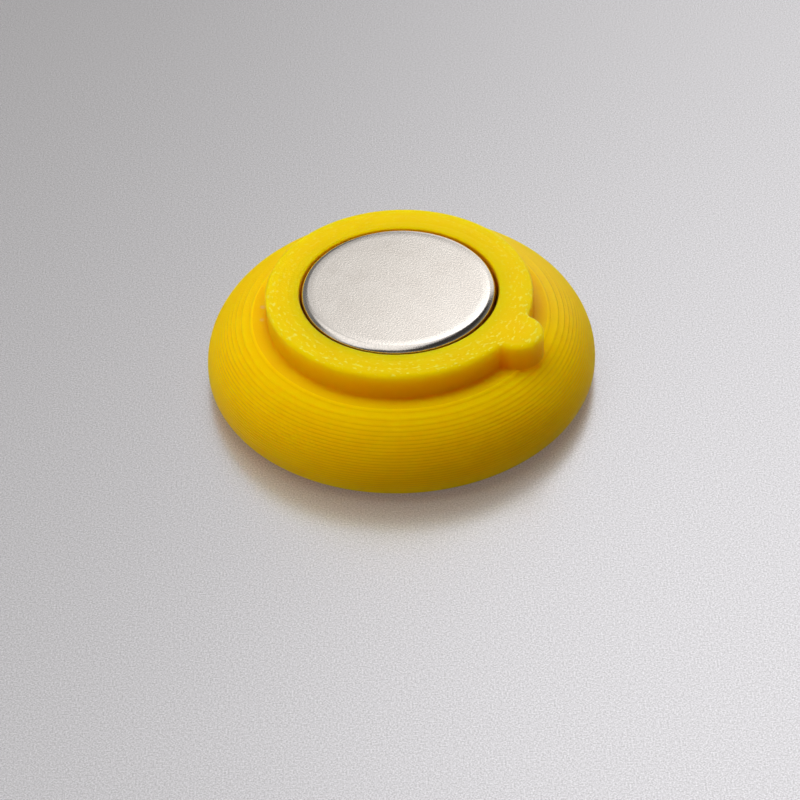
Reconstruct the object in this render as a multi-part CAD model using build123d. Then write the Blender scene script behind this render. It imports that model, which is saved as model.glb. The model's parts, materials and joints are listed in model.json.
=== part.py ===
from build123d import *
import os
from math import sqrt

# Board magnet: a printed holder with a disc magnet let into its back.
# Millimetres, +Z up. It lies on its flat front face, pole face up, and the
# origin is the middle of the front face. Two pieces: the holder and the magnet.

# Holder body: a thick round button, as it is printed on its front face.
body_diameter = 30.0
body_height = 5.8  # front face to the foot of the collar
rim_rounding = 1.5  # radius of the rounding between front face and widest line
shoulder_width = 4.5  # how far the domed shoulder falls away inwards
layer_height = 0.2  # one printed layer, whose edge is a ledge on the shoulder
least_ledge = 0.125  # ledges come in multiples of this, so none is a sliver

# Collar round the magnet, with one lobe on its outer wall.
collar_height = 2.2
collar_wall = 2.65  # between the magnet's pocket and the outside
collar_rounding = 0.2  # top outer edge
lobe_radius = 2.0
lobe_angle = -32.0  # degrees from +X about the axis
lobe_blend = 0.5  # hollow corner where lobe and collar meet

# Disc magnet, let into the collar.
magnet_diameter = 14.9
magnet_thickness = 3.0
magnet_edge = 0.4  # both rims are broken this wide, so that the plating doesn't chip
magnet_proud = 0.2  # the pole face stands this far out, so that steel meets it first
pocket_clearance = 0.1  # play all round the magnet
magnet_shift = 0.05  # the magnet lies this far off the axis, towards -X

body_radius = body_diameter / 2
shoulder_height = body_height - rim_rounding
total_height = body_height + collar_height
pocket_radius = magnet_diameter / 2 + pocket_clearance
pocket_floor = total_height + magnet_proud - magnet_thickness
collar_radius = pocket_radius + collar_wall


def outline_radius(height):
    """Radius of the smooth shape that was sliced: a quarter circle below the
    widest line and a quarter ellipse, the domed shoulder, above it."""
    if height < rim_rounding:
        reach = rim_rounding
        share = (rim_rounding - height) / rim_rounding
    else:
        reach = shoulder_width
        share = (height - rim_rounding) / shoulder_height
    return body_radius - reach * (1 - sqrt(1 - share**2))


def layered_body():
    """The body as it was printed: one flat disc per layer, each as wide as the
    smooth shape is halfway up that layer, and all turned in one piece."""
    layers = round(body_height / layer_height)
    pitch = body_height / layers
    outline = []
    radius = 0
    for layer in range(layers):
        next_radius = outline_radius((layer + 0.5) * pitch)
        next_radius = least_ledge * round(next_radius / least_ledge)
        if next_radius != radius:
            outline += [(radius, layer * pitch), (next_radius, layer * pitch)]
            radius = next_radius
    outline += [(radius, body_height), (0, body_height)]
    section = make_face(Plane.XZ * Polyline(*outline, close=True))
    return revolve(section, Axis.Z)


def lobed_collar():
    """The raised collar and its lobe, drawn as one plan and pulled up out of
    the body. Both circles start inside the other, so the plan's only corners
    are the two hollow ones, and the blend goes there."""
    turned = Rot(0, 0, lobe_angle)
    ring = turned * Circle(collar_radius)
    lobe = turned * Pos(collar_radius, 0) * Rot(0, 0, 180) * Circle(lobe_radius)
    plan = ring + lobe
    plan = fillet(plan.vertices(), lobe_blend)
    collar = extrude(Pos(0, 0, rim_rounding) * plan, total_height - rim_rounding)
    return fillet(collar.faces().sort_by(Axis.Z)[-1].edges(), collar_rounding)


def printed_holder():
    """Body and collar in one print, with the magnet's pocket sunk from the back."""
    depth = total_height - pocket_floor
    pocket = Pos(0, 0, pocket_floor + depth / 2) * Cylinder(pocket_radius, depth)
    return layered_body() + lobed_collar() - pocket


def disc_magnet():
    """Sintered disc with broken edges, seated on the pocket's floor."""
    disc = Cylinder(magnet_diameter / 2, magnet_thickness)
    disc = chamfer(disc.edges().filter_by(GeomType.CIRCLE), magnet_edge)
    return Pos(-magnet_shift, 0, pocket_floor + magnet_thickness / 2) * disc


pieces = {
    "printed_holder": printed_holder(),
    "disc_magnet": disc_magnet(),
}

os.makedirs("parts", exist_ok=True)
for name, piece in pieces.items():
    export_step(piece, f"parts/{name}.step")
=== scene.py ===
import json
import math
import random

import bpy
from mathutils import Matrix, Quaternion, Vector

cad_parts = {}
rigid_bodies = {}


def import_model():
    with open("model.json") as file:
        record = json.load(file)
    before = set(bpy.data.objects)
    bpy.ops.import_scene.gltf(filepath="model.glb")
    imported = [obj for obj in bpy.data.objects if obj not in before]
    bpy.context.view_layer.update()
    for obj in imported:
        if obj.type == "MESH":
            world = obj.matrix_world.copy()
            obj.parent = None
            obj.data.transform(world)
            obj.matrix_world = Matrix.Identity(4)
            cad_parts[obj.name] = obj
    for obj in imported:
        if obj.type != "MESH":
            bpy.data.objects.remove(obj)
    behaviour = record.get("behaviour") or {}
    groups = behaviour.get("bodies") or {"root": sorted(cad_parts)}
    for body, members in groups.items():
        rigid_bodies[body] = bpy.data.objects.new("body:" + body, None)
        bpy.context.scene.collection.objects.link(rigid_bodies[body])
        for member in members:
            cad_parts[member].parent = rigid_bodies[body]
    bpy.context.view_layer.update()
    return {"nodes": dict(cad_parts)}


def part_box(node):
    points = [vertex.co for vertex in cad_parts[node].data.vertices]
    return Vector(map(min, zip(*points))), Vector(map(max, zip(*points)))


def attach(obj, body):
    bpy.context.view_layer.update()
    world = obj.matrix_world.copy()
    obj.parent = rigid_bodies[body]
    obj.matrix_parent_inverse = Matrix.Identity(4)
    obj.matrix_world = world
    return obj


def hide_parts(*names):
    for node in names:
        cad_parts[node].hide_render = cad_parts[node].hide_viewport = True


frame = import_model()

# %% [markdown]
# # Dressing a printed board magnet
# The frame holds two solids at their real size: a 3D-printed plastic holder and the disc
# magnet in its pocket. Blender gives them the surface that the real ones have: the rounded
# edge of every printed layer, the lines that the nozzle leaves on flat tops, and satin nickel
# plating. Lengths are in metres, so a size in millimetres is multiplied by MM.

MM = 0.001

# %% [markdown]
# ## The camera comes first
# A long lens about 20 cm away looks down at the pole face. The camera is placed by the point
# it aims at, its distance, its height above the horizon and its slight lean, because those
# are what a photographer sets. The values themselves weren't chosen: they come from a
# least-squares fit of round outlines and of ruler marks whose spacing is known.

# %% Camera
AIM = Vector((-0.24, -3.63, 0)) * MM
CAMERA_DISTANCE = 200.7 * MM
CAMERA_ELEVATION = math.radians(41.08)
CAMERA_LEAN = math.radians(-2.23)
FOCAL_LENGTH = 117.5  # the camera's own unit, millimetres

bpy.ops.object.camera_add()
camera = bpy.context.object
camera.name = "camera"
camera.data.lens = FOCAL_LENGTH
camera.data.clip_start = 1 * MM
back = Vector((0, -math.cos(CAMERA_ELEVATION), math.sin(CAMERA_ELEVATION)))
lean = Quaternion((0, 0, 1), CAMERA_LEAN)
camera.location = AIM + back * CAMERA_DISTANCE
camera.rotation_mode = "QUATERNION"
camera.rotation_quaternion = (-back).to_track_quat("-Z", "Y") @ lean
bpy.context.scene.camera = camera
print("camera at", [round(place / MM, 1) for place in camera.location], "mm")

# %% [markdown]
# ## Measure before modelling
# Nothing is placed by eye. The sizes that a new piece shares with a solid are read from the
# solid's own corners. The lobe is found first, as the corner of the collar that is farthest
# from the axis. The collar's own radius is then read on the side away from it.

# %% Sizes read from the frame
magnet_low, magnet_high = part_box("disc_magnet")
holder_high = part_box("printed_holder")[1]
top = holder_high.z
body_radius = holder_high.x
pocket_floor = magnet_low.z
holder_mesh = frame["nodes"]["printed_holder"].data
corners = [vertex.co.copy() for vertex in holder_mesh.vertices]
LOOK_DOWN = 1 * MM  # how far below the top the collar's own corners are looked for
CLEAR_OF_WALL = 0.1 * MM


def radius_of(place):
    """Distance of a place from the part's axis."""
    return math.hypot(place.x, place.y)


collar_corners = [corner for corner in corners if corner.z > top - LOOK_DOWN]
lobe_tip = max(collar_corners, key=radius_of)
far_side = [corner for corner in corners if corner.xy.dot(lobe_tip.xy) < 0]
pocket_radius = min(radius_of(corner) for corner in collar_corners)
collar_radius = max(
    radius_of(corner) for corner in far_side if corner.z > top - LOOK_DOWN
)
collar_foot = max(
    corner.z for corner in far_side if radius_of(corner) > collar_radius + CLEAR_OF_WALL
)
print(f"body radius {body_radius / MM:.2f}, height {top / MM:.2f} mm")
print(f"collar radius {collar_radius / MM:.2f}, from {collar_foot / MM:.2f} mm up")
print(f"pocket radius {pocket_radius / MM:.2f}, floor at {pocket_floor / MM:.2f} mm")
print(f"magnet stands {(magnet_high.z - top) / MM:.2f} mm proud")
print(f"lobe reaches {radius_of(lobe_tip) / MM:.2f} mm")

# %% [markdown]
# ## Working by hand, in code
# Operators act on whatever is selected. Each piece therefore starts with nothing selected,
# and parts of a mesh are picked by where they are.

# %% Selection helpers


def clear_selection():
    """Deselects every object, the CAD nodes included."""
    bpy.ops.object.select_all(action="DESELECT")


def take(piece):
    """Makes piece the only selected object."""
    clear_selection()
    bpy.context.view_layer.objects.active = piece
    piece.select_set(True)


def open_for_editing(piece):
    """Opens piece in edit mode with all of it selected."""
    take(piece)
    bpy.ops.object.mode_set(mode="EDIT")
    bpy.ops.mesh.select_mode(type="VERT")
    bpy.ops.mesh.select_all(action="SELECT")


def pick(piece, kind, wanted):
    """In edit mode, selects the vertices or faces whose middle is wanted."""
    bpy.ops.mesh.select_mode(type=kind)
    bpy.ops.mesh.select_all(action="DESELECT")
    bpy.ops.object.mode_set(mode="OBJECT")
    mesh = piece.data
    if kind == "VERT":
        for vertex in mesh.vertices:
            vertex.select = wanted(vertex.co)
    else:
        for face in mesh.polygons:
            face.select = wanted(face.center)
    bpy.ops.object.mode_set(mode="EDIT")


def pull_up(rise):
    """Extrudes what is selected straight up."""
    bpy.ops.mesh.extrude_region_move(TRANSFORM_OT_translate={"value": (0, 0, rise)})


def apply_modifier(piece, kind, **settings):
    """Adds one modifier with its settings and applies it."""
    take(piece)
    modifier = piece.modifiers.new(kind.lower(), kind)
    for setting, value in settings.items():
        setattr(modifier, setting, value)
    bpy.ops.object.modifier_apply(modifier=modifier.name)


# %% [markdown]
# ## The printed body, layer by layer
# A filament printer lays the body down on its front face, in flat layers 0.2 mm thick. The
# outside of each layer is the side of a squeezed thread, so the domed shoulder is really a
# flight of tiny rounded steps, wide near the collar and narrow near the rim. A bump map could
# fake them, but not in the outline or in low light. So they are modelled. The smooth shape is
# the one that was sliced: a quarter circle at the rim and a quarter ellipse at the shoulder.

# %% The smooth shape that was sliced
RIM_ROUNDING = 1.5 * MM
SHOULDER_WIDTH = 4.5 * MM
LAYER = 0.2 * MM


def sliced_radius(height):
    """Radius of the smooth shape at a height."""
    if height < RIM_ROUNDING:
        reach = RIM_ROUNDING
        share = (RIM_ROUNDING - height) / RIM_ROUNDING
    else:
        reach = SHOULDER_WIDTH
        share = min((height - RIM_ROUNDING) / (collar_foot - RIM_ROUNDING), 1)
    return body_radius - reach * (1 - math.sqrt(1 - share**2))


layers = round(collar_foot / LAYER)
print(layers, "layers up to the collar's foot")

# %% [markdown]
# A step is never as sharp as the slicer draws it. The hot thread sags over the edge of the
# layer below, so the step keeps only a part of its depth, and a faint seam stays between the
# threads. Each layer takes six rings. No printer puts every layer down in exactly the same
# place, so each one is also drawn in by up to a hundredth of a millimetre of its own, from a
# seeded random source, which gives the same on every run.

# %% Rings of the layers, from the front face up
STEP_SHARE = 0.75  # how much of each sliced step is left
SEAM_SHARES = (0, 0.12, 0.3, 0.7, 0.88, 1)
SEAM_DEPTH = 0.015 * MM
WOBBLE = 0.01 * MM  # most that a layer lies in
random.seed(7)


def seam_inset(share):
    """How far the side of a thread lies in at a share of its height."""
    return SEAM_DEPTH * abs(2 * share - 1) ** 3


hidden_radius = (pocket_radius + collar_radius) / 2
rings = []
for layer in range(layers):
    step_radius = sliced_radius((layer + 0.5) * LAYER)
    wobble = random.uniform(0, WOBBLE)
    for share in SEAM_SHARES:
        height = (layer + share) * LAYER
        radius = sliced_radius(height)
        radius += (step_radius - radius) * STEP_SHARE
        rings.append((radius - seam_inset(share) - wobble, height))
rings += [(hidden_radius, collar_foot), (hidden_radius, pocket_floor)]
print(len(rings), "rings")

# %% [markdown]
# The body could be turned from a profile with spin. Here it starts as a filled circle and is
# pulled up one ring at a time, in the order in which the printer works. The last ring goes
# down again, under the collar, to the floor of the pocket, and stays there as that floor.

# %% Pull the body up
RING_CORNERS = 256
clear_selection()
radius, height = rings[0]
bpy.ops.mesh.primitive_circle_add(
    vertices=RING_CORNERS, radius=radius, fill_type="NGON", location=(0, 0, height)
)
holder = bpy.context.object
holder.name = holder.data.name = "holder_print"
bpy.ops.object.transform_apply()
open_for_editing(holder)
for next_radius, next_height in rings[1:]:
    pull_up(next_height - height)
    growth = next_radius / radius
    bpy.ops.transform.resize(value=(growth, growth, 1), center_override=(0, 0, 0))
    radius, height = next_radius, next_height
bpy.ops.mesh.select_all(action="SELECT")
bpy.ops.mesh.normals_make_consistent(inside=False)
bpy.ops.object.mode_set(mode="OBJECT")
print("body:", len(holder.data.polygons), "faces")

# %% [markdown]
# ## The collar and its lobe
# The collar stands round the magnet, and one round lobe sticks out of its wall. Its plan is
# taken from the solid itself, so that it can't differ. A copy is cut level through the
# collar, which leaves the lobed outline and the round pocket, and the ring between them is
# filled.

# %% Cut the plan out of a copy of the solid
COLLAR_ROOT = 0.1 * MM  # the collar starts this far below the pocket's floor
SAME_CORNER = 0.001 * MM
SAME_CUT_CORNER = 0.005 * MM
clear_selection()
collar = bpy.data.objects.new("collar_print", holder_mesh.copy())
bpy.context.scene.collection.objects.link(collar)
open_for_editing(collar)
bpy.ops.mesh.remove_doubles(threshold=SAME_CORNER)
cut_height = top - LOOK_DOWN
bpy.ops.mesh.bisect(
    plane_co=(0, 0, cut_height), plane_no=(0, 0, 1), clear_inner=True, clear_outer=True
)
bpy.ops.mesh.select_all(action="SELECT")
bpy.ops.mesh.remove_doubles(threshold=SAME_CUT_CORNER)
height = pocket_floor - COLLAR_ROOT
bpy.ops.transform.translate(value=(0, 0, height - cut_height))
bpy.ops.mesh.fill()
bpy.ops.mesh.select_all(action="SELECT")
bpy.ops.mesh.normals_make_consistent(inside=False)
bpy.ops.object.mode_set(mode="OBJECT")
print("plan:", len(collar.data.vertices), "corners")
bpy.ops.object.mode_set(mode="EDIT")

# %% [markdown]
# The plan is pulled up to just under the rounded top edge, stopping at the top of every
# layer. Here the layers lie straight above each other and the hot nozzle irons them together,
# so the wall stays smooth.

# %% Pull the collar up
TOP_ROUNDING = 0.27 * MM
wall_top = top - TOP_ROUNDING
wall_heights = [layer * LAYER for layer in range(layers, round(top / LAYER))]
wall_heights = [level for level in wall_heights if level < wall_top - LAYER / 2]
for next_height in wall_heights + [wall_top]:
    pull_up(next_height - height)
    height = next_height
print("collar:", len(wall_heights), "rings up its wall")

# %% [markdown]
# Inset is the tool for the top. It moves the outer and the inner edge of the ring by the same
# width, also round the lobe, so a few shallow insets round both edges over. More of them draw
# the grooves between the threads that run along the edges, which printers call perimeters.

# %% Round the top edges and draw the perimeters
LINE = 0.44 * MM  # width of one squeezed thread of plastic
GROOVE_DEPTH = 0.005 * MM
GROOVE_HALF_WIDTH = 0.05 * MM
ROUNDING_STEPS = 5
PERIMETERS = 2
along, sunk = 0, 0
for step in range(1, ROUNDING_STEPS + 1):
    turn = math.pi / 2 * step / ROUNDING_STEPS
    width = TOP_ROUNDING * (1 - math.cos(turn))
    rise = TOP_ROUNDING * math.sin(turn)
    bpy.ops.mesh.inset(thickness=width - along, depth=rise - sunk, use_even_offset=True)
    along, sunk = width, rise
for line in range(1, PERIMETERS + 1):
    to_groove = LINE * line - GROOVE_HALF_WIDTH - along
    bpy.ops.mesh.inset(thickness=to_groove, use_even_offset=True)
    bpy.ops.mesh.inset(thickness=GROOVE_HALF_WIDTH, depth=-GROOVE_DEPTH)
    bpy.ops.mesh.inset(thickness=GROOVE_HALF_WIDTH, depth=GROOVE_DEPTH)
    along = LINE * line + GROOVE_HALF_WIDTH
bpy.ops.mesh.select_all(action="SELECT")
bpy.ops.mesh.normals_make_consistent(inside=False)
bpy.ops.object.mode_set(mode="OBJECT")
print("collar:", len(collar.data.polygons), "faces")

# %% [markdown]
# ## One print
# Body and collar come off the printer as one piece, so they are joined by an exact Boolean
# union, which also takes away the walls that would be left inside. Filament never lies
# perfectly still: a very weak Displace draws the whole skin in by up to fifteen thousandths
# of a millimetre, unevenly over a few millimetres, and never outwards, so the print keeps its
# size.

# %% Join, disturb and smooth
SKIN_UNEVENNESS = 0.015 * MM
UNEVEN_OVER = 2.5 * MM
SMOOTH_ANGLE = math.radians(40)
apply_modifier(holder, "BOOLEAN", operation="UNION", solver="EXACT", object=collar)
take(collar)
bpy.ops.object.delete()

cloud = bpy.data.textures.new("skin_unevenness", "CLOUDS")
cloud.noise_scale = UNEVEN_OVER
apply_modifier(
    holder,
    "DISPLACE",
    texture=cloud,
    strength=SKIN_UNEVENNESS,
    mid_level=1,
    texture_coords="LOCAL",
)
take(holder)
bpy.ops.object.shade_smooth_by_angle(angle=SMOOTH_ANGLE)
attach(holder, "root")
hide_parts("printed_holder")
print("holder:", len(holder.data.polygons), "faces")

# %% [markdown]
# ## The disc magnet
# A sintered disc is tumbled before it is plated, so its rims are round. It starts as a
# cylinder of the solid's own size, and a bevel takes both rims. Its faces get two insets, so
# that the flat shades evenly up to the rounded rim.

# %% Model the magnet
MAGNET_ROUNDING = 0.62 * MM
MAGNET_CORNERS = 192
ROUNDING_SEGMENTS = 8
FACE_INSETS = (0.5 * MM, 2 * MM)
magnet_centre = (magnet_low + magnet_high) / 2
magnet_radius = (magnet_high.x - magnet_low.x) / 2
clear_selection()
bpy.ops.mesh.primitive_cylinder_add(
    vertices=MAGNET_CORNERS,
    radius=magnet_radius,
    depth=magnet_high.z - magnet_low.z,
    end_fill_type="NGON",
    location=magnet_centre,
)
magnet = bpy.context.object
magnet.name = magnet.data.name = "plated_magnet"
bpy.ops.object.transform_apply()
open_for_editing(magnet)
pick(magnet, "FACE", lambda middle: abs(middle.z - magnet_centre.z) > MM)
bpy.ops.mesh.bevel(
    offset=MAGNET_ROUNDING, segments=ROUNDING_SEGMENTS, affect="EDGES"
)
pick(magnet, "FACE", lambda middle: (middle - magnet_centre).xy.length < MM)
for width in FACE_INSETS:
    bpy.ops.mesh.inset(thickness=width)
bpy.ops.object.mode_set(mode="OBJECT")
bpy.ops.object.shade_smooth_by_angle(angle=SMOOTH_ANGLE)
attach(magnet, "root")
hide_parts("disc_magnet")
print("magnet:", len(magnet.data.polygons), "faces")

# %% [markdown]
# ## Colours and nodes
# Colours are written as they look on a screen, in sRGB. Shaders want linear light, so one
# function turns them. One more small function adds a shader node, with its settings and links
# in one call, and another takes the largest of several values.

# %% Colour and node helpers


def linear(hex_colour):
    """Linear RGBA of an sRGB hex colour."""
    channels = [int(hex_colour[place : place + 2], 16) / 255 for place in (1, 3, 5)]
    return tuple(
        (c / 12.92 if c <= 0.04045 else ((c + 0.055) / 1.055) ** 2.4) for c in channels
    ) + (1,)


def add_node(tree, kind, inputs=None, **settings):
    """Adds a node. An input is a value, or another node's output to link."""
    node = tree.nodes.new(kind)
    for setting, value in settings.items():
        setattr(node, setting, value)
    for socket, value in (inputs or {}).items():
        if isinstance(value, bpy.types.NodeSocket):
            tree.links.new(value, node.inputs[socket])
        else:
            node.inputs[socket].default_value = value
    return node


def largest(tree, values):
    """The largest of several values, such as kinds of ray that are 0 or 1."""
    total = values[0]
    for value in values[1:]:
        both = add_node(tree, "ShaderNodeMath", {0: total, 1: value}, operation="MAXIMUM")
        total = both.outputs["Value"]
    return total


def new_material(name, piece):
    """Gives piece one empty node material and returns its node tree."""
    material = bpy.data.materials.new(name)
    material.use_nodes = True
    material.node_tree.nodes.clear()
    piece.data.materials.clear()
    piece.data.materials.append(material)
    return material.node_tree


# %% [markdown]
# ## Yellow PLA
# PLA filament is a slightly cloudy plastic. Light goes in, wanders a few millimetres and
# comes out redder, because the pigment eats green sooner than red: that is why the collar's
# wall glows orange from its top edge down. Subsurface scattering does that. Red wanders
# farthest, so its radius is the largest.
#
# A pattern that follows the ring needs coordinates that do. The angle round the axis and the
# distance from it are worked out from the Object coordinates, and so is a mask that is 1 on
# the collar's top and 0 below it.

# %% Coordinates on the print
tree = new_material("yellow_pla_filament", holder)
place = add_node(tree, "ShaderNodeTexCoord").outputs["Object"]
level = add_node(tree, "ShaderNodeSeparateXYZ", {"Vector": place})
across = add_node(
    tree, "ShaderNodeVectorMath", {0: place, 1: (1, 1, 0)}, operation="MULTIPLY"
)
from_axis = add_node(
    tree, "ShaderNodeVectorMath", {0: across.outputs["Vector"]}, operation="LENGTH"
)
around = add_node(
    tree,
    "ShaderNodeMath",
    {0: level.outputs["Y"], 1: level.outputs["X"]},
    operation="ARCTAN2",
)
on_top = add_node(
    tree,
    "ShaderNodeMapRange",
    {"Value": level.outputs["Z"], "From Min": top - 0.1 * MM, "From Max": top - 0.02 * MM},
)
print("coordinates:", len(tree.nodes), "nodes")

# %% [markdown]
# The last layer of a print is never perfectly closed. Where a thread was dragged over its
# neighbour it leaves a short ridge that catches the light. Those glints are painted into the
# colour as pale flecks, a few tenths of a millimetre long, most of them in the outer half of
# the ring and on the lobe's side. Noise that is cut off near its peaks gives such painted
# glints: the higher the cut, the fewer of them.

# %% Pale flecks of painted highlight on the top layer
FLECK_LENGTH = 0.5 * MM
FLECK_WIDTH = 0.27 * MM
FLECK_CUT, FLECK_PEAK = 0.56, 0.76  # where the noise starts to show, and shows fully
ring_place = add_node(
    tree,
    "ShaderNodeCombineXYZ",
    {"X": around.outputs["Value"], "Y": from_axis.outputs["Value"]},
)
fleck_place = add_node(
    tree,
    "ShaderNodeMapping",
    {
        "Vector": ring_place.outputs["Vector"],
        "Scale": (collar_radius / FLECK_LENGTH, 1 / FLECK_WIDTH, 1),
    },
)
fleck_noise = add_node(
    tree,
    "ShaderNodeTexNoise",
    {"Vector": fleck_place.outputs["Vector"], "Scale": 1, "Detail": 1},
)
painted_glints = add_node(
    tree,
    "ShaderNodeMapRange",
    {
        "Value": fleck_noise.outputs["Fac"],
        "From Min": FLECK_CUT,
        "From Max": FLECK_PEAK,
    },
)
outer_half = add_node(
    tree,
    "ShaderNodeMapRange",
    {
        "Value": from_axis.outputs["Value"],
        "From Min": pocket_radius + 0.5 * MM,
        "From Max": collar_radius - 0.9 * MM,
        "To Min": 0.15,
        "To Max": 0.75,
    },
)
painted_glint_mask = add_node(
    tree,
    "ShaderNodeMath",
    {0: painted_glints.outputs["Result"], 1: outer_half.outputs["Result"]},
    operation="MULTIPLY",
)
near_lobe = add_node(
    tree,
    "ShaderNodeMapRange",
    {
        "Value": level.outputs["Y"],
        "From Min": collar_radius,
        "From Max": -collar_radius / 4,
        "To Min": 0.25,
        "To Max": 1,
    },
)
for factor in (near_lobe, on_top):
    painted_glint_mask = add_node(
        tree,
        "ShaderNodeMath",
        {0: painted_glint_mask.outputs["Value"], 1: factor.outputs["Result"]},
        operation="MULTIPLY",
    )
print(f"flecks: about {FLECK_LENGTH / MM} by {FLECK_WIDTH / MM} mm")

# %% [markdown]
# The front face was pressed onto the printer's bed. Its first layer shows a few threads that
# run round the edge and, inside them, threads laid at 45 degrees, with a fine groove between
# each and the next. Two wave textures draw those grooves, and a mask keeps them to the front
# face.

# %% Threads of the first layer
ROUND_THREADS = 3
THREAD_GROOVE = 0.03 * MM
WAVE_PERIOD = math.tau / 20  # of a wave texture at scale 1
DIAGONAL_PERIOD = WAVE_PERIOD * math.sqrt(2)
round_waves = add_node(
    tree,
    "ShaderNodeTexWave",
    {"Vector": place, "Scale": WAVE_PERIOD / LINE},
    wave_type="RINGS",
    rings_direction="Z",
)
slanting_waves = add_node(
    tree,
    "ShaderNodeTexWave",
    {"Vector": place, "Scale": DIAGONAL_PERIOD / LINE},
    wave_type="BANDS",
    bands_direction="DIAGONAL",
)
by_the_edge = add_node(
    tree,
    "ShaderNodeMath",
    {0: from_axis.outputs["Value"], 1: rings[0][0] - ROUND_THREADS * LINE},
    operation="GREATER_THAN",
)
threads = add_node(
    tree,
    "ShaderNodeMix",
    {
        "Factor": by_the_edge.outputs["Value"],
        "A": slanting_waves.outputs["Fac"],
        "B": round_waves.outputs["Fac"],
    },
    data_type="FLOAT",
)
on_front_face = add_node(
    tree,
    "ShaderNodeMath",
    {0: level.outputs["Z"], 1: LAYER / 10},
    operation="LESS_THAN",
)
thread_height = add_node(
    tree,
    "ShaderNodeMath",
    {0: threads.outputs["Result"], 1: on_front_face.outputs["Value"]},
    operation="MULTIPLY",
)
thread_bump = add_node(
    tree,
    "ShaderNodeBump",
    {"Height": thread_height.outputs["Value"], "Distance": THREAD_GROOVE, "Strength": 1},
)
print("front face:", ROUND_THREADS, "threads run round its edge")

# %% [markdown]
# Between two layers less light comes back out of the plastic, so the crease at the foot of
# each thread looks darker and more orange than the thread. That shade is painted into the
# colour. The share of a layer that a point lies up tells how near it is to the crease below
# it. The painted shade grows fainter towards the collar, where the steps are wide and flat.
# Up the collar's wall the threads lie straight above each other and no crease shows, but the
# wall is painted in the same shade, darker and more orange towards its foot.

# %% Painted shade in the creases between the layers
layers_up = add_node(
    tree, "ShaderNodeMath", {0: level.outputs["Z"], 1: LAYER}, operation="DIVIDE"
)
share_up = add_node(
    tree, "ShaderNodeMath", {0: layers_up.outputs["Value"]}, operation="FRACT"
)
crease_shade = add_node(
    tree,
    "ShaderNodeMapRange",
    {"Value": share_up.outputs["Value"], "From Min": 0.6, "From Max": 0.1},
    interpolation_type="SMOOTHSTEP",
)
crease_fade = add_node(
    tree,
    "ShaderNodeMapRange",
    {
        "Value": level.outputs["Z"],
        "From Min": collar_foot - 7 * LAYER,
        "From Max": collar_foot - LAYER,
        "To Min": 1,
        "To Max": 0.3,
    },
)
crease_shade = add_node(
    tree,
    "ShaderNodeMath",
    {0: crease_shade.outputs["Result"], 1: crease_fade.outputs["Result"]},
    operation="MULTIPLY",
)
wall_foot_shade = add_node(
    tree,
    "ShaderNodeMapRange",
    {
        "Value": level.outputs["Z"],
        "From Min": top - 0.4 * MM,
        "From Max": collar_foot + 0.3 * MM,
    },
)
on_wall = add_node(
    tree,
    "ShaderNodeMath",
    {0: level.outputs["Z"], 1: collar_foot - LAYER / 10},
    operation="GREATER_THAN",
)
painted_shade = add_node(
    tree,
    "ShaderNodeMix",
    {
        "Factor": on_wall.outputs["Value"],
        "A": crease_shade.outputs["Value"],
        "B": wall_foot_shade.outputs["Result"],
    },
    data_type="FLOAT",
)
print("creases:", layers, "on the body")

# %% [markdown]
# The pigment isn't perfectly mixed, so the tone drifts a little. Large soft clouds and a fine
# mottle share one noise, because its detail octaves reach from the one to the other. Two
# small pale scuffs beside the collar are spots round two places on the body.

# %% Tone of the print
CLOUD_SIZE = 1.6 * MM
SCUFFS = [(-10.5, 1.2, 5.65), (-10.55, -0.35, 5.6)]  # millimetres
SCUFF_RADIUS = 0.32 * MM
clouds = add_node(
    tree,
    "ShaderNodeTexNoise",
    {"Vector": place, "Scale": 1 / CLOUD_SIZE, "Detail": 4, "Roughness": 0.6},
)
tone = add_node(
    tree,
    "ShaderNodeMix",
    {"Factor": clouds.outputs["Fac"], "A": linear("#FEC100"), "B": linear("#FFCD00")},
    data_type="RGBA",
)
# The painted glints lighten the tone to a pale yellow.
skin = add_node(
    tree,
    "ShaderNodeMix",
    {
        "Factor": painted_glint_mask.outputs["Value"],
        "A": tone.outputs["Result"],
        "B": linear("#FFE670"),
    },
    data_type="RGBA",
)
for spot in SCUFFS:
    to_spot = add_node(
        tree,
        "ShaderNodeVectorMath",
        {0: place, 1: Vector(spot) * MM},
        operation="DISTANCE",
    )
    spot_mask = add_node(
        tree,
        "ShaderNodeMapRange",
        {
            "Value": to_spot.outputs["Value"],
            "From Min": SCUFF_RADIUS,
            "From Max": 0.05 * MM,
            "To Max": 0.6,
        },
        interpolation_type="SMOOTHSTEP",
    )
    skin = add_node(
        tree,
        "ShaderNodeMix",
        {
            "Factor": spot_mask.outputs["Result"],
            "A": skin.outputs["Result"],
            "B": linear("#F2CC9E"),
        },
        data_type="RGBA",
    )
# The painted shade of the creases and of the wall's foot darkens the colour and turns it more
# orange.
skin_with_painted_shade = add_node(
    tree,
    "ShaderNodeMix",
    {
        "Factor": painted_shade.outputs["Result"],
        "A": skin.outputs["Result"],
        "B": linear("#F0EAFF"),
    },
    data_type="RGBA",
    blend_type="MULTIPLY",
)
print("scuffs:", len(SCUFFS))
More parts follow.
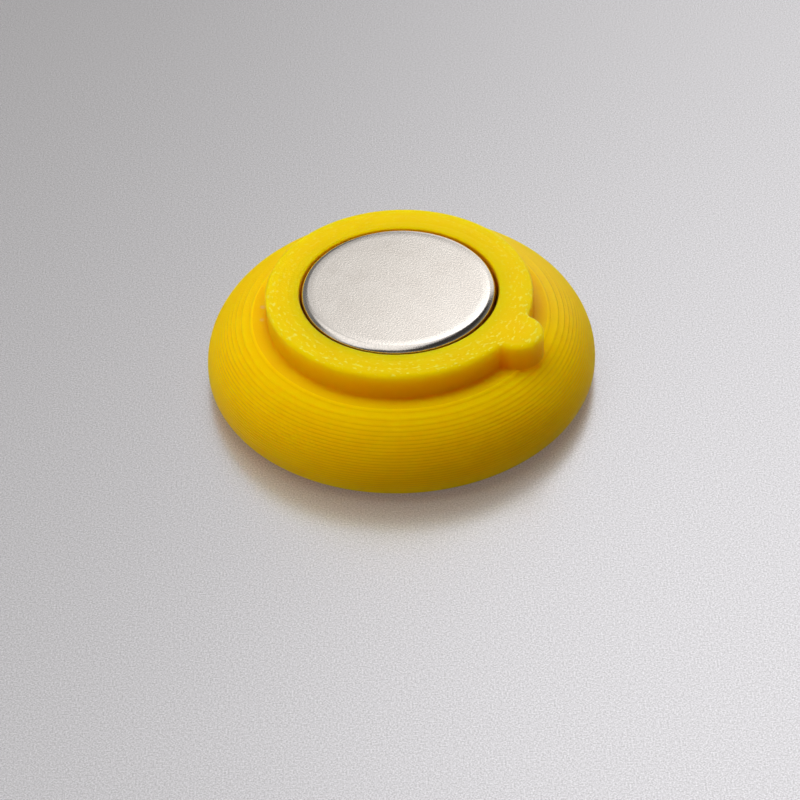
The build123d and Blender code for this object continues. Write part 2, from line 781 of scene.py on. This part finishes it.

# %% [markdown]
# Painted shade darkens the gap round the magnet: the pocket and its edge, to a little beyond
# the mouth, are browned. Just below the edge, on the side towards -Y, the painted shade is
# nearly dark. That side is what the magnet's round rim mirrors, so the rim looks dark there
# as well. A cut at the pocket's floor keeps the painted shade off the front face.

# %% Painted shade in the gap round the magnet
GAP_SHADE_WIDTH = 0.15 * MM
gap_shade_reach = add_node(
    tree,
    "ShaderNodeMapRange",
    {
        "Value": from_axis.outputs["Value"],
        "From Min": pocket_radius + GAP_SHADE_WIDTH,
        "From Max": pocket_radius + 0.01 * MM,
    },
    interpolation_type="SMOOTHSTEP",
)
above_floor = add_node(
    tree,
    "ShaderNodeMath",
    {0: level.outputs["Z"], 1: pocket_floor - LAYER},
    operation="GREATER_THAN",
)
painted_gap_shade = add_node(
    tree,
    "ShaderNodeMath",
    {0: gap_shade_reach.outputs["Result"], 1: above_floor.outputs["Value"]},
    operation="MULTIPLY",
)
below_edge = add_node(
    tree,
    "ShaderNodeMapRange",
    {"Value": level.outputs["Z"], "From Min": top - 0.05 * MM, "From Max": top - 0.12 * MM},
)
minus_y_side = add_node(
    tree,
    "ShaderNodeMapRange",
    {"Value": level.outputs["Y"], "From Min": MM, "From Max": -MM},
)
darkest_gap_shade = add_node(
    tree,
    "ShaderNodeMath",
    {0: below_edge.outputs["Result"], 1: minus_y_side.outputs["Result"]},
    operation="MULTIPLY",
)
# Brown painted shade, nearly dark on the -Y side just below the edge.
gap_shade_tone = add_node(
    tree,
    "ShaderNodeMix",
    {"Factor": darkest_gap_shade.outputs["Value"], "A": linear("#B8987C"), "B": linear("#6E5440")},
    data_type="RGBA",
)
skin_with_gap_shade = add_node(
    tree,
    "ShaderNodeMix",
    {
        "Factor": painted_gap_shade.outputs["Value"],
        "A": skin_with_painted_shade.outputs["Result"],
        "B": gap_shade_tone.outputs["Result"],
    },
    data_type="RGBA",
    blend_type="MULTIPLY",
)
print(f"worn edge: {GAP_SHADE_WIDTH / MM:.2f} mm wide")

# %% [markdown]
# All of it goes into one shader. A fine grain, about a hundredth of a millimetre deep, takes
# the hard shine off, as on any print, and the highlight itself is weak and warm.

# %% Shader of the print
PRINT_GRAIN = 0.15 * MM
PRINT_GRAIN_DEPTH = 0.012 * MM
grain = add_node(
    tree, "ShaderNodeTexNoise", {"Vector": place, "Scale": 1 / PRINT_GRAIN, "Detail": 2}
)
grain_bump = add_node(
    tree,
    "ShaderNodeBump",
    {
        "Height": grain.outputs["Fac"],
        "Distance": PRINT_GRAIN_DEPTH,
        "Strength": 1,
        "Normal": thread_bump.outputs["Normal"],
    },
)
plastic = add_node(
    tree,
    "ShaderNodeBsdfPrincipled",
    {
        "Base Color": skin_with_gap_shade.outputs["Result"],
        "Roughness": 0.42,
        "IOR": 1.46,
        "Specular IOR Level": 0.3,
        "Specular Tint": linear("#FFE040"),
        "Subsurface Weight": 1.0,
        "Subsurface Radius": (1.0, 0.75, 0.25),
        "Subsurface Scale": 4 * MM,
        "Normal": grain_bump.outputs["Normal"],
    },
)
add_node(tree, "ShaderNodeOutputMaterial", {"Surface": plastic.outputs["BSDF"]})
print("print finish:", len(tree.nodes), "nodes")

# %% [markdown]
# ## Satin nickel
# Nickel-plated magnets are tumbled before plating, which leaves a fine even grain like very
# fine sand under the metal. It is too fine to see grain by grain, so it is drawn coarser, a
# little over a tenth of a millimetre across. The grain tilts the mirror a little from place
# to place, and fingers leave faint duller patches.

# %% Material of the magnet
NICKEL_GRAIN = 0.13 * MM
NICKEL_GRAIN_DEPTH = 0.006 * MM
SMUDGE_SIZE = 1.8 * MM
tree = new_material("satin_nickel_plating", magnet)
place = add_node(tree, "ShaderNodeTexCoord").outputs["Object"]
grain = add_node(
    tree,
    "ShaderNodeTexNoise",
    {"Vector": place, "Scale": 1 / NICKEL_GRAIN, "Detail": 2, "Roughness": 0.6},
)
smudges = add_node(
    tree,
    "ShaderNodeTexNoise",
    {"Vector": place, "Scale": 1 / SMUDGE_SIZE, "Detail": 5, "Roughness": 0.6},
)
patchy = add_node(
    tree,
    "ShaderNodeMix",
    {"Factor": smudges.outputs["Fac"], "A": linear("#DDD5CB"), "B": linear("#EFE9E0")},
    data_type="RGBA",
)
speckle = add_node(
    tree,
    "ShaderNodeMapRange",
    {"Value": grain.outputs["Fac"], "From Min": 0.3, "From Max": 0.7, "To Max": 0.3},
)
tone = add_node(
    tree,
    "ShaderNodeMix",
    {
        "Factor": speckle.outputs["Result"],
        "A": patchy.outputs["Result"],
        "B": linear("#A49C93"),
    },
    data_type="RGBA",
)
dullness = add_node(
    tree,
    "ShaderNodeMapRange",
    {"Value": smudges.outputs["Fac"], "To Min": 0.13, "To Max": 0.2},
)
grain_bump = add_node(
    tree,
    "ShaderNodeBump",
    {"Height": grain.outputs["Fac"], "Distance": NICKEL_GRAIN_DEPTH, "Strength": 1},
)
nickel = add_node(
    tree,
    "ShaderNodeBsdfPrincipled",
    {
        "Base Color": tone.outputs["Result"],
        "Metallic": 1,
        "Roughness": dullness.outputs["Result"],
        "Normal": grain_bump.outputs["Normal"],
    },
)
add_node(tree, "ShaderNodeOutputMaterial", {"Surface": nickel.outputs["BSDF"]})
print("nickel finish:", len(tree.nodes), "nodes")

# %% [markdown]
# ## A table to lie on
# The part lies on a pale table top of satin, bead-blasted metal. The table is stage, not part
# of the object. Its grain is fine enough to sparkle. Satin metal mirrors what is behind it in
# a blur, so the part's shadow is partly its own blurred mirror image. The shadow is lifted a
# little for the camera alone, which leaves the light on the object as it is. The light that
# the table throws back up is a little warm, as from a desk.

# %% Table top
TABLE_SIDE = 1.2  # metres
SPARKLE_SIZE = 0.12 * MM
SHADOW_LIFT = 0.11
clear_selection()
bpy.ops.mesh.primitive_plane_add(size=TABLE_SIDE, location=(0, 0, 0))
table = bpy.context.object
table.name = table.data.name = "table_top"
tree = new_material("satin_table_top", table)
place = add_node(tree, "ShaderNodeTexCoord").outputs["Object"]
path = add_node(tree, "ShaderNodeLightPath")
sparkle = add_node(
    tree, "ShaderNodeTexNoise", {"Vector": place, "Scale": 1 / SPARKLE_SIZE, "Detail": 3}
)
speckle = add_node(
    tree,
    "ShaderNodeMapRange",
    {"Value": sparkle.outputs["Fac"], "From Min": 0.3, "From Max": 0.7},
)
seen = add_node(
    tree,
    "ShaderNodeMix",
    {"Factor": speckle.outputs["Result"], "A": linear("#969597"), "B": linear("#CCCBCE")},
    data_type="RGBA",
)
looking = largest(
    tree,
    [
        path.outputs["Is Camera Ray"],
        path.outputs["Is Glossy Ray"],
        path.outputs["Is Transmission Ray"],
    ],
)
tone = add_node(
    tree,
    "ShaderNodeMix",
    {
        "Factor": looking,
        "A": linear("#F2E0C8"),
        "B": seen.outputs["Result"],
    },
    data_type="RGBA",
)
lifted = add_node(
    tree,
    "ShaderNodeMath",
    {0: path.outputs["Is Camera Ray"], 1: SHADOW_LIFT},
    operation="MULTIPLY",
)
tabletop = add_node(
    tree,
    "ShaderNodeBsdfPrincipled",
    {
        "Base Color": tone.outputs["Result"],
        "Metallic": 0.8,
        "Roughness": 0.3,
        "Emission Color": linear("#FFF8F0"),
        "Emission Strength": lifted.outputs["Value"],
    },
)
add_node(tree, "ShaderNodeOutputMaterial", {"Surface": tabletop.outputs["BSDF"]})
print("table:", [round(side / MM) for side in table.dimensions], "mm")

# %% [markdown]
# ## Soft light
# Large round softboxes light the object from behind and from the left. Each is set by where
# it stands in the sky and by the share of full white that it gives a surface facing it, and
# its wattage follows from that. Their discs would show as hard white spots in the metal, so
# the lamps themselves aren't mirrored: the room is.
#
# Most of the places and shares were solved for and not chosen. The object was rendered under
# one lamp at a time, from a grid of directions, and a least-squares fit gave the mix of those
# renders that shades it right. The lamp above and the two low ones on the left were then
# turned down a little, and the one in front was added.

# %% Softboxes
LAMP_DISTANCE = 0.45  # metres


def towards(azimuth, elevation):
    """Unit vector to a place in the sky, in degrees from +X and above the table."""
    azimuth, elevation = math.radians(azimuth), math.radians(elevation)
    level = Vector((math.cos(azimuth), math.sin(azimuth), 0)) * math.cos(elevation)
    return level + Vector((0, 0, math.sin(elevation)))


def add_softbox(name, azimuth, elevation, width, share):
    """A round softbox that gives a surface facing it this share of full white."""
    direction = towards(azimuth, elevation)
    bpy.ops.object.light_add(type="AREA", location=direction * LAMP_DISTANCE)
    lamp = bpy.context.object
    lamp.name = name
    lamp.data.shape = "DISK"
    lamp.data.size = width
    lamp.data.energy = share * (math.pi * LAMP_DISTANCE) ** 2
    lamp.visible_glossy = False
    lamp.rotation_mode = "QUATERNION"
    lamp.rotation_quaternion = direction.to_track_quat("Z", "Y")


SOFTBOXES = [
    ("softbox_left_low", 180, 14, 0.19, 0.08),
    ("softbox_front_left_low", 225, 14, 0.19, 0.05),
    ("softbox_right_low", 350, 14, 0.19, 0.052),
    ("softbox_behind_right_low", 45, 20, 0.19, 0.218),
    ("softbox_behind_right", 60, 63, 0.16, 0.084),
    ("softbox_behind_left", 120, 63, 0.16, 0.179),
    ("softbox_left", 180, 63, 0.16, 0.33),
    ("softbox_front", 270, 62, 0.19, 0.03),
    ("softbox_above", 90, 85, 0.19, 0.36),
]
for softbox in SOFTBOXES:
    add_softbox(*softbox)
print(len(SOFTBOXES), "softboxes")

# %% [markdown]
# ## The room in the metal
# Metal is only as good as what it mirrors. The room that this one mirrors has walls, which
# are lighter near the horizon, and bright panels. Each panel is a soft-edged disc in the sky,
# worked out from the angle between the ray and the panel's middle. Where two overlap, the
# brighter shows.

# %% Walls and panels of the room
MIRRORED_ROOM = 0.05
MIRRORED_WALLS = 0.25
WALLS_END, WALLS_FULL = 34, 8  # degrees above the horizon
PANELS = [  # azimuth, elevation, half width and softness in degrees, and strength
    (150, 72, 30, 12, 1.35),  # ceiling
    (205, 50, 20, 12, 1.3),  # window on the left
    (190, 27, 12, 14, 0.6),  # wall below that window
    (73, 48, 14.8, 2.5, 2.0),  # bright window behind, to the right
    (68, 13, 23, 8, 1.12),  # wall below the bright window
    (90, 50, 17, 6, 0.88),  # blind behind
    (128, 52, 18, 10, 0.57),  # curtain behind, to the left
    (130, 15, 35, 12, 0.23),  # wall behind, to the left
    (250, 68, 15, 11, 1.2),  # ceiling above the viewer
    (268, 18, 16, 8, 0.24),  # wall behind the viewer
]
world = bpy.data.worlds.new("studio")
bpy.context.scene.world = world
world.use_nodes = True
tree = world.node_tree
tree.nodes.clear()
ray = add_node(tree, "ShaderNodeTexCoord").outputs["Generated"]


def add_panel(azimuth, elevation, half_width, softness, strength):
    """The brightness of one soft-edged disc in the sky, for the ray that looks."""
    facing = add_node(
        tree,
        "ShaderNodeVectorMath",
        {0: ray, 1: towards(azimuth, elevation)},
        operation="DOT_PRODUCT",
    )
    panel = add_node(
        tree,
        "ShaderNodeMapRange",
        {
            "Value": facing.outputs["Value"],
            "From Min": math.cos(math.radians(half_width + softness)),
            "From Max": math.cos(math.radians(half_width - softness)),
            "To Max": strength,
        },
        interpolation_type="SMOOTHSTEP",
    )
    return panel.outputs["Result"]


ray_level = add_node(tree, "ShaderNodeSeparateXYZ", {"Vector": ray})
walls = add_node(
    tree,
    "ShaderNodeMapRange",
    {
        "Value": ray_level.outputs["Z"],
        "From Min": math.sin(math.radians(WALLS_END)),
        "From Max": math.sin(math.radians(WALLS_FULL)),
        "To Min": MIRRORED_ROOM,
        "To Max": MIRRORED_WALLS,
    },
    interpolation_type="SMOOTHSTEP",
)
panels = [add_panel(*panel) for panel in PANELS]
mirrored = largest(tree, [walls.outputs["Result"]] + panels)
print("room:", len(panels), "panels")

# %% [markdown]
# Only mirrored rays see that room. Soft light comes from a dim grey one, so that the
# softboxes alone shape the object, and the camera sees a plain pale backdrop. The kind of ray
# chooses between the three.

# %% The world
ROOM_LIGHT = 0.05
BACKDROP = 0.8
path = add_node(tree, "ShaderNodeLightPath")
mirrored_rays = largest(
    tree, [path.outputs["Is Glossy Ray"], path.outputs["Is Transmission Ray"]]
)
strength = add_node(
    tree,
    "ShaderNodeMix",
    {"Factor": mirrored_rays, "A": ROOM_LIGHT, "B": mirrored},
    data_type="FLOAT",
)
strength = add_node(
    tree,
    "ShaderNodeMix",
    {
        "Factor": path.outputs["Is Camera Ray"],
        "A": strength.outputs["Result"],
        "B": BACKDROP,
    },
    data_type="FLOAT",
)
backdrop = add_node(
    tree,
    "ShaderNodeBackground",
    {"Color": linear("#F4F4F6"), "Strength": strength.outputs["Result"]},
)
add_node(tree, "ShaderNodeOutputWorld", {"Surface": backdrop.outputs["Background"]})
bpy.context.scene.view_settings.view_transform = "Standard"
print("world:", len(tree.nodes), "nodes")
